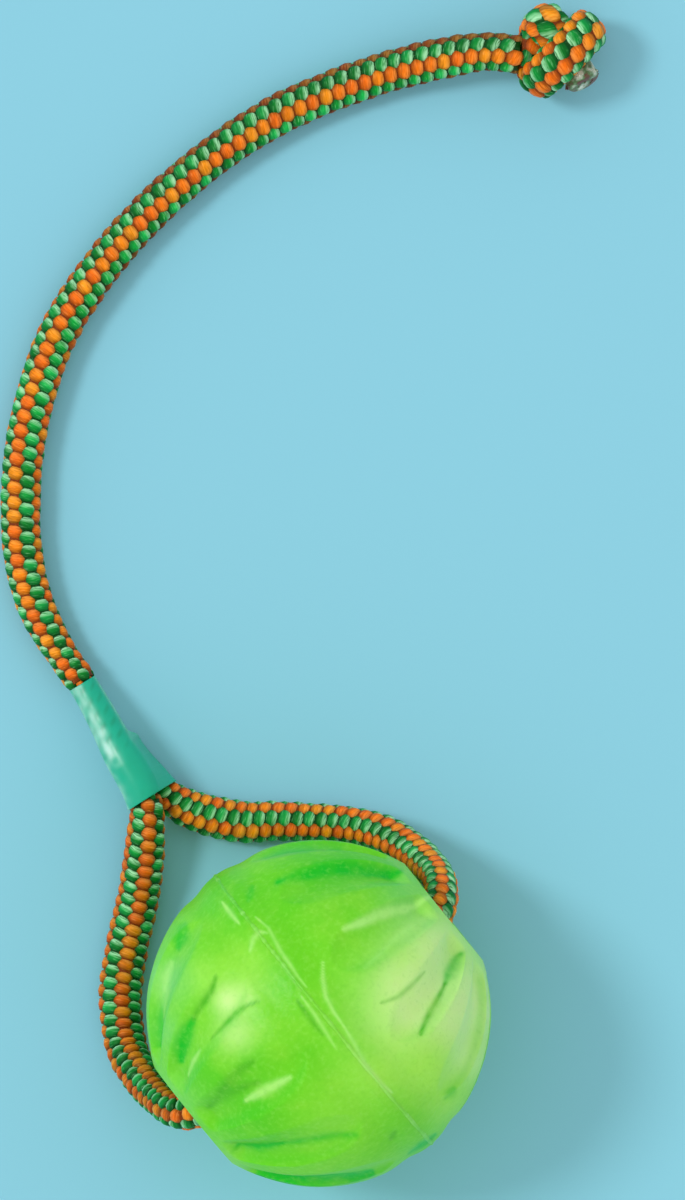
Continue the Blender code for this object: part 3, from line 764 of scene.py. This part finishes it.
def grooveShape(side, x, turn):  # depth, place across (-1 to 1), how much a point is in a groove
    start = math.radians(groove["phase"]) + (side > 0) * groovePitch / 2
    number = np.round((turn - start) / groovePitch)
    away = turn - start - groovePitch * number
    fromWeld = x - side * ball["weldPlane"]
    inward = np.clip((fromWeld - groove["start"]) / groove["startRun"], 0, 1)
    rounded = np.sqrt(np.clip(1 - (1 - inward) ** 2, 1e-9, 1))
    half = np.radians(np.interp(fromWeld, *groove["halfAngles"])) * rounded
    across = away / half
    lean = groove["lean"] * np.sign(start + groovePitch * number)
    scoop = np.clip(1 - across**2, 0, 1) * (1 + lean * np.clip(across, -1, 1))
    deepening = groove["innerShare"] + (1 - groove["innerShare"]) * eased(*groove["deepening"], fromWeld)
    outerFade = 1 - eased(grooveEnd - groove["endRun"], grooveEnd, x)
    fade = (1 - (1 - inward) ** 3) * outerFade * (inward > 0)
    return groove["depth"] * scoop * deepening * fade, across, fade


def raggedRidge(places, turn, middle, width, seed, cover):  # in nicks and runs
    ridge = hump(places[:, 0], middle, width)
    for k in np.nonzero(ridge > 0.01)[0]:
        around = Vector((math.cos(turn[k]), math.sin(turn[k]), seed))
        ragged = cover + 0.9 * noise.noise(around * 7) + 0.5 * noise.noise(around * 31)
        ridge[k] *= min(max(ragged, 0.0), 1.2)
    return ridge


def fromLine(spots, route):  # distance from a broken line, and where on it the nearest point lies
    nearest, place = np.full(len(spots), 999.0), np.zeros(len(spots))
    route = np.array(route, float)
    lengths = lengthsAlong(route)
    for k, along in enumerate(np.diff(route, axis=0)):
        share = np.clip(((spots - route[k]) @ along) / along.dot(along), 0, 1)
        distance = np.linalg.norm(spots - route[k] - share[:, None] * along, axis=1)
        place = np.where(distance < nearest, lengths[k] + share * (lengths[k + 1] - lengths[k]), place)
        nearest = np.minimum(nearest, distance)
    return nearest, place / lengths[-1]


def blended(colours, target, strength):
    return colours + (np.array(target[:3]) - colours) * np.clip(strength, 0, 1)[:, None]


def onTop(places):  # 1 on the ball's upper side, 0 underneath
    return eased(-0.012, 0.004, places[:, 2])


def rubberTones(places, markShare):  # the base colour, with the patches and marks of the upper side: tones, moulding marks and painted highlight, glow, sheen and shade
    spots = 1000 * places[:, :2]
    upper = onTop(places)
    colours = np.tile(np.array(rubberBase[:3]), (len(places), 1))
    for tone, rows in patches.values():
        for x, y, radius, strength in rows:
            reach = np.linalg.norm(spots - (x, y), axis=1) / radius
            colours = blended(colours, tone, strength * upper * np.exp(-(reach**2)))
    for tone, _, rows in mouldMarksAndPaintedShading.values():
        for route, width, strength in rows:
            distance, share = fromLine(spots, route)
            tapered = markLook["tips"] + (1 - markLook["tips"]) * np.sin(math.pi * share)
            closeness = hump(distance, 0, markLook["spread"] * width * tapered) * upper
            for k in np.nonzero(closeness > 0.02)[0]:
                patchy = markLook["patchiness"] * noise.noise(Vector(places[k]) * markLook["grain"])
                closeness[k] *= markLook["strength"] + patchy
            colours = blended(colours, tone, strength * markShare * closeness)
    return colours


def ballHalf(name, side, node):
    bm = bmesh.new()
    points = halfSection(side)
    verts = [bm.verts.new((side * x, 0.0, r)) for x, r in points]
    edges = [bm.edges.new(pair) for pair in zip(verts, verts[1:] + verts[:1])]
    bmesh.ops.spin(
        bm,
        geom=verts + edges,
        cent=(0, 0, 0),
        axis=(1, 0, 0),
        angle=2 * math.pi,
        steps=groove["count"] * ball["stepsPerGroove"],
        use_merge=True,
    )
    bmesh.ops.recalc_face_normals(bm, faces=bm.faces)
    mesh = meshOf(bm, name)
    places = pointPlaces(mesh)
    distance = np.linalg.norm(places, axis=1)
    x = side * places[:, 0]
    turn = np.arctan2(-places[:, 1], places[:, 2])
    skin = (distance > ball["radius"] - 1e-5) & (x < landDistance - 1e-6)
    depth, across, within = grooveShape(side, x, turn)
    flash = raggedRidge(places, turn, **weld["line"])
    if side < 0:
        flash += weld["secondShare"] * raggedRidge(places, turn, **weld["secondLine"])
    raised = swell(x - side * ball["weldPlane"]) - depth + weld["rise"] * flash
    for _, height, rows in mouldMarksAndPaintedShading.values():
        for route, width, strength in rows:
            line = hump(fromLine(1000 * places[:, :2], route)[0], 0, markLook["reliefSpread"] * width)
            raised += height * strength * line * (places[:, 2] > 0)
    moved = places * (1 + np.where(skin, raised, 0) / distance)[:, None]
    moved[:, 2] += ball["radius"]
    mesh.vertices.foreach_set("co", moved.ravel())

    colours = rubberTones(places, 1.0)
    shown = np.where(skin, within, 0) * (1 - groove["topFade"] * onTop(places))
    # painted shade: the grooves' walls darker green, mostly on one side, weaker on top
    for hand, share in groove["wallShadeShares"].items():
        closeness = hump(across * hand, *groove["walls"]) * shown
        colours = blended(colours, groove["wallShadeTone"], share * closeness)
    colours = blended(colours, weld["tone"], np.where(skin, weld["toneShare"] * flash, 0))
    tintPoints(mesh, "rubberColour", np.hstack([colours, np.ones((len(places), 1))]))
    mesh.shade_smooth()
    mesh.set_sharp_from_angle(angle=math.radians(40))
    mesh.update()
    made = addObject(name, mesh, rubber)
    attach(made, "ball")
    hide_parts(node)
    print("moulded", name, len(mesh.polygons), "faces")


rubberLayers = [  # noise scale and detail, where the tone starts and ends with its shares there, tone
    (90, 4, (0.5, 0.75, 0.0, 0.25), srgb(182, 240, 76)),  # haze
    (60, 3, (0.55, 0.8, 0.0, 0.3), srgb(90, 212, 0)),  # thicker rubber
    (800, 4, (0.5, 0.74, 0.0, 0.17), srgb(190, 248, 120)),  # bright specks
    (800, 4, (0.26, 0.46, 0.14, 0.0), srgb(70, 196, 0)),  # dark specks
]


def rubberMaterial():
    material, tree, shader = newMaterial(
        "lime_rubber",
        Roughness=0.38,
        Specular_IOR_Level=0.25,
        Subsurface_Weight=0.6,
        Subsurface_Radius=(0.6, 1.0, 0.4),
        Subsurface_Scale=0.0012,
    )
    place = tree.nodes.new("ShaderNodeTexCoord").outputs["Object"]
    colour = attributeOf(tree, "rubberColour")["Color"]
    for scale, detail, shares, tone in rubberLayers:
        layer = ranged(tree, noiseOf(tree, place, scale, detail), *shares)
        colour = mixColours(tree, layer, colour, tone)
    tree.links.new(colour, shader.inputs["Base Color"])
    bumped(tree, noiseOf(tree, place, 1000, 3), 0.4, 0.00025, shader)
    return material


strip = {  # the rubber squeezed out of the weld, as a thin uneven band on the right half
    "steps": 720,
    "halfWidths": (0.0003, 0.00062),
    "rise": 0.00022,
    "sunk": 0.0001,
    "wander": 0.0002,
    "seed": 2.7,
    "markShare": 0.6,
    "tone": srgb(170, 240, 116),
    "toneShare": 0.6,
}


def flashStrip():
    bm = bmesh.new()
    tint = bm.verts.layers.float_color.new("rubberColour")
    grid = bmesh.ops.create_grid(bm, x_segments=strip["steps"], y_segments=4, size=1)["verts"]
    raggedness = []
    for vert in grid:
        turn = math.pi * vert.co.x
        around = Vector((math.cos(turn), math.sin(turn), strip["seed"]))
        ragged = 0.45 + 0.8 * noise.noise(around * 9) + 0.6 * noise.noise(around * 40)
        ragged = min(max(ragged, 0), 1)
        thinnest, widest = strip["halfWidths"]
        half = thinnest + (widest - thinnest) * ragged
        out = ball["radius"] - strip["sunk"] + (strip["rise"] + strip["sunk"]) * (1 - vert.co.y**2)
        across = vert.co.y * half + strip["wander"] * noise.noise(around * 5)
        raggedness.append(ragged)
        vert.co = (ball["weldPlane"] + across, -out * math.sin(turn), out * math.cos(turn))
    colours = rubberTones(np.array([vert.co for vert in grid]), strip["markShare"])
    colours = blended(colours, strip["tone"], strip["toneShare"] * np.array(raggedness) ** 2)
    for vert, colour in zip(grid, colours):
        vert[tint] = (*colour, 1)
        vert.co.z += ball["radius"]
    bmesh.ops.remove_doubles(bm, verts=bm.verts, dist=1e-6)
    mesh = meshOf(bm, "weld_flash")
    mesh.shade_smooth()
    material, tree, shader = newMaterial("weld_flash", Roughness=0.4)
    tree.links.new(attributeOf(tree, "rubberColour")["Color"], shader.inputs["Base Color"])
    made = addObject("weld_flash", mesh, material)
    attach(made, "ball")
    print("added the weld's flash")


rubber = rubberMaterial()
ballHalf("ball_shell_left", -1, "ball_half_left")
ballHalf("ball_shell_right", 1, "ball_half_right")
flashStrip()


# Splice sleeve: a shrunk tube lofted over the two ropes it grips

sleeve = {
    "mouth": (0.00124, 0.0654),
    "direction": (0.128, 0.992),
    "length": 0.0318,
    "clearance": 0.00045,
    "wall": 0.00045,
    "stepRun": 0.0030,
    "sides": 72,
    "rings": 120,
    "squeeze": ((0.0, 0.010, 0.016, 0.0318), (1.0, 0.95, 0.86, 0.80)),  # of the ropes' radii, by station
    "tuck": 0.0015,  # how far the return end's bump is drawn in, and from where
    "tuckStart": 0.003,
    "relief": 0.00003,
    "reliefPitch": 0.0033,
    "reliefPhase": 0.6,
    "tightening": (0.010, 0.017),  # from where to where along it the braid comes to show through
}
filmHighlights = {  # painted highlight and sheen, a pale streak where gloss falls and pale edges on the film: middle and spread of the angle round it
    "streak": (2.1, 0.34),
    "streakShare": 0.88,
    "stations": ((0.0095, 0.013, 0.018, 0.031), (0.0, 1.0, 0.8, 0.45)),  # the streak's strength along it
    "farEdge": (2.9, 0.45),
    "farEdgeShare": 0.5,
    "nearEdge": (0.3, 0.2),
    "nearEdgeShare": 0.3,
    "patchiness": 0.9,
    "grain": 420,
}
sleeveAlong = Vector((*sleeve["direction"], 0)).normalized()
sleeveAcross = Vector((sleeveAlong.y, -sleeveAlong.x, 0))
sleeveMouth = Vector((*sleeve["mouth"], 0))
standingLine = wholeLine[marks[lastPoints[3] - 2] : marks[lastPoints[4] + 1]]
returnLine = wholeLine[: marks[lastPoints[0] + 1]]
cutStation = (Vector(ropeRoutes["returnEnd"][0][:3]) - sleeveMouth).dot(sleeveAlong)


def crossing(line, station):  # where a rope crosses the sleeve's section: across, height, radius
    offset = line[:, :3] - np.array(sleeveMouth)
    at = offset @ np.array(sleeveAlong)
    order = np.argsort(at)
    across = np.interp(station, at[order], (offset @ np.array(sleeveAcross))[order])
    height = np.interp(station, at[order], line[order, 2])
    radius = np.interp(station, at[order], line[order, 3]) * rope["diameter"] / 2
    return np.array([across, height, radius * np.interp(station, *sleeve["squeeze"])])


def returning(station):
    tuck = sleeve["tuck"] * eased(sleeve["tuckStart"], cutStation, np.array(station))
    return crossing(returnLine, station) - np.array((tuck, 0, 0))


def sleeveCircles(station):
    standing = crossing(standingLine, station)
    if station <= cutStation:
        return standing, returning(station)
    share = float(eased(0.0, sleeve["stepRun"], np.array(station - cutStation)))
    end = returning(cutStation)
    return standing, end + (standing - end) * share


def sleeveMaterial():
    material, tree, shader = newMaterial(
        "teal_shrink_film",
        Roughness=0.42,
        Specular_IOR_Level=0.3,
        Coat_Weight=0.45,
        Coat_Roughness=0.3,
        Coat_IOR=1.6,
        Subsurface_Weight=0.4,
        Subsurface_Radius=(0.3, 1.0, 0.8),
        Subsurface_Scale=0.0012,
    )
    place = tree.nodes.new("ShaderNodeTexCoord").outputs["Object"]
    cloud = noiseOf(tree, place, 190, 4)
    film = mixColours(tree, cloud, srgb(0, 172, 132), srgb(0, 188, 152))
    spotted = ranged(tree, attributeOf(tree, "ropeShows")["Fac"], 0.0, 1.0, 0.0, 0.75)
    colour = mixColours(tree, spotted, film, srgb(0, 156, 116))
    # painted highlight and sheen on the film
    highlightedFilm = mixColours(tree, attributeOf(tree, "filmHighlights")["Fac"], colour, srgb(196, 244, 224))
    tree.links.new(highlightedFilm, shader.inputs["Base Color"])
    bumped(tree, cloud, 0.2, 0.0004, shader)
    return material


def sleevePiece():
    bm = bmesh.new()
    ring = bmesh.ops.create_circle(bm, segments=sleeve["sides"], radius=1)["verts"]
    angles = [math.atan2(vert.co.y, vert.co.x) for vert in ring]
    edges = list(bm.edges)
    shows, filmHighlightShares = [], []
    for number in range(sleeve["rings"] + 1):
        station = sleeve["length"] * number / sleeve["rings"]
        if number:
            grown = bmesh.ops.extrude_edge_only(bm, edges=edges)["geom"]
            ring = [part for part in grown if isinstance(part, bmesh.types.BMVert)]
            edges = [part for part in grown if isinstance(part, bmesh.types.BMEdge)]
        circles = sleeveCircles(station)
        origin = sleeveMouth + sleeveAlong * station
        tight = float(eased(*sleeve["tightening"], np.array(station)))
        streakHere = np.interp(station, *filmHighlights["stations"])
        for vert, angle in zip(ring, angles):
            facing = np.array([math.cos(angle), math.sin(angle)])
            side, height, radius = max(circles, key=lambda circle: circle[:2] @ facing + circle[2])
            columns = angle * stitch["columns"] / 2
            row = station / sleeve["reliefPitch"] + columns / (2 * math.pi)
            beadUnder = math.sin(2 * math.pi * row) * math.sin(columns + sleeve["reliefPhase"])
            reach = radius + sleeve["clearance"] + sleeve["wall"] + tight * sleeve["relief"] * beadUnder
            point = origin + sleeveAcross * (side + reach * facing[0])
            vert.co = (point.x, point.y, height + reach * facing[1])
            shows.append(tight * max(0.0, beadUnder))
            # painted highlight along the streak, painted sheen at the edges
            highlightShare = filmHighlights["streakShare"] * streakHere * hump(angle, *filmHighlights["streak"])
            highlightShare += filmHighlights["farEdgeShare"] * hump(angle, *filmHighlights["farEdge"])
            highlightShare += filmHighlights["nearEdgeShare"] * tight * hump(angle, *filmHighlights["nearEdge"])
            patchy = 0.75 + filmHighlights["patchiness"] * noise.noise(vert.co * filmHighlights["grain"])
            filmHighlightShares.append(highlightShare * min(max(patchy, 0.2), 1.2))
    bmesh.ops.recalc_face_normals(bm, faces=bm.faces)
    mesh = meshOf(bm, "splice_sleeve")
    for name, values in (("ropeShows", shows), ("filmHighlights", filmHighlightShares)):
        mesh.attributes.new(name, "FLOAT", "POINT").data.foreach_set("value", values)
    mesh.shade_smooth()
    made = addObject("splice_sleeve", mesh, sleeveMaterial())
    wall = made.modifiers.new("wall", "SOLIDIFY")
    wall.thickness = sleeve["wall"]
    wall.offset = -1
    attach(made, "rope")
    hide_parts("shrink_sleeve")
    print("shrunk the sleeve over", sleeve["rings"], "rings")


sleevePiece()


# Frayed end: a melted stub with loose fibres

fray = {
    "length": 0.0042,
    "radius": 0.0042,
    "rounding": 0.0012,
    "fibres": 260,
    "fibreLength": 0.0017,
    "fibreRadius": 0.00024,
    "sunk": 0.0012,
    "splay": 24,  # degrees, at the rim
    "unruliness": 14,
}
frayTones = ((0.42, srgb(112, 58, 40)), (0.5, srgb(92, 130, 76)), (0.66, srgb(236, 236, 220)))


def frayMaterial():
    material, tree, shader = newMaterial("frayed_fibres", Roughness=0.6, Sheen_Weight=0.2)
    place = tree.nodes.new("ShaderNodeTexCoord").outputs["Object"]
    ramp = tree.nodes.new("ShaderNodeValToRGB")
    ramp.color_ramp.elements.new(0.5)
    for stop, (position, tone) in zip(ramp.color_ramp.elements, frayTones):
        stop.position, stop.color = position, tone
    tree.links.new(noiseOf(tree, place, 300, 3), ramp.inputs["Fac"])
    tree.links.new(ramp.outputs["Color"], shader.inputs["Base Color"])
    return material


def frayedEnd():
    bm = bmesh.new()
    standingCone(bm, 24, fray["radius"] * 0.95, fray["radius"], fray["length"])
    rim = [edge for edge in bm.edges if all(vert.co.z > fray["length"] / 2 for vert in edge.verts)]
    bmesh.ops.bevel(
        bm, geom=rim, offset=fray["rounding"], segments=4, profile=0.5, affect="EDGES", material=-1
    )
    for _ in range(fray["fibres"]):
        angle = chance.uniform(0, 2 * math.pi)
        share = math.sqrt(chance.uniform(0.0, 0.98))  # of the way out to the rim
        length = fray["fibreLength"] * chance.uniform(0.5, 1.0)
        grown = standingCone(bm, 5, fray["fibreRadius"], fray["fibreRadius"] * 0.7, length)
        tilt = chance.uniform(-fray["unruliness"], fray["unruliness"]) + fray["splay"] * share
        lean = Matrix.Rotation(math.radians(tilt), 4, "Y")
        sunk = fray["sunk"] * (1 + share**2)
        foot = Matrix.Translation((0.92 * fray["radius"] * share, 0, fray["length"] - sunk))
        bmesh.ops.transform(bm, verts=grown, matrix=Matrix.Rotation(angle, 4, "Z") @ foot @ lean)
    upright = Vector(knotAlongs[-1]).to_track_quat("Z", "Y").to_matrix().to_4x4()
    bmesh.ops.transform(bm, verts=bm.verts, matrix=Matrix.Translation(knotPoints[-1, :3]) @ upright)
    mesh = meshOf(bm, "frayed_end")
    mesh.shade_smooth()
    mesh.set_sharp_from_angle(angle=math.radians(50))
    made = addObject("frayed_end", mesh, frayMaterial())
    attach(made, "rope")
    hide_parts("sealed_end")
    print("frayed the end with", fray["fibres"], "fibres")
    return made


endPiece = frayedEnd()


# Splice thread: the solid stays, with a twisted twine's finish

def twineMaterial():
    material, tree, shader = newMaterial("white_twine", Roughness=0.8)
    strands = tree.nodes.new("ShaderNodeTexWave")
    strands.inputs["Scale"].default_value = 420
    strands.inputs["Distortion"].default_value = 1.5
    tree.links.new(tree.nodes.new("ShaderNodeTexCoord").outputs["Object"], strands.inputs["Vector"])
    colour = mixColours(tree, strands.outputs["Fac"], srgb(206, 200, 186), srgb(240, 236, 226))
    tree.links.new(colour, shader.inputs["Base Color"])
    bumped(tree, strands.outputs["Fac"], 0.4, 0.0001, shader)
    return material


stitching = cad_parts["splice_stitching"]
stitching.data.materials.clear()
stitching.data.materials.append(twineMaterial())


# Floor, world and lights

stage = {"colour": srgb(143, 209, 228), "size": 6.0, "sky": 0.745}
key = {"strength": 1.04, "height": 53, "softness": 14, "right": 0.96, "up": -0.28}
photoRight = Vector((0.7764, -0.6302, 0))  # the photograph's right and up, on the floor
photoUp = Vector((0.6302, 0.7764, 0))

bm = bmesh.new()
bmesh.ops.create_grid(bm, x_segments=1, y_segments=1, size=stage["size"] / 2)
paper, _, _ = newMaterial("floor", Base_Color=stage["colour"], Roughness=1.0, Specular_IOR_Level=0.0)
addObject("floor", meshOf(bm, "floor"), paper)

world = bpy.data.worlds.new("studio")
scene.world = world
world.use_nodes = True
sky = world.node_tree
sky.nodes.clear()
rays = sky.nodes.new("ShaderNodeLightPath").outputs
seen = rays["Is Camera Ray"]
for label in ("Is Glossy Ray", "Is Transmission Ray"):
    seen = combined(sky, "MAXIMUM", seen, rays[label])
chosen = sky.nodes.new("ShaderNodeMixShader")
sky.links.new(seen, chosen.inputs["Fac"])
glows = {1: ((1, 1, 1, 1), stage["sky"]), 2: (stage["colour"], 1)}  # the light, and what is seen behind
for slot, (colour, strength) in glows.items():
    glow = sky.nodes.new("ShaderNodeBackground")
    glow.inputs["Color"].default_value = colour
    glow.inputs["Strength"].default_value = strength
    sky.links.new(glow.outputs["Background"], chosen.inputs[slot])
sky.links.new(chosen.outputs["Shader"], sky.nodes.new("ShaderNodeOutputWorld").inputs["Surface"])

sunData = bpy.data.lights.new("key", "SUN")
sunData.energy = key["strength"]
sunData.angle = math.radians(key["softness"])
sun = addObject("key", sunData)
rise = math.radians(key["height"])
towards = (photoRight * key["right"] + photoUp * key["up"]).normalized() * math.cos(rise)
towards.z -= math.sin(rise)
sun.rotation_mode = "QUATERNION"
sun.rotation_quaternion = towards.to_track_quat("-Z", "Y")
print("lit the scene")
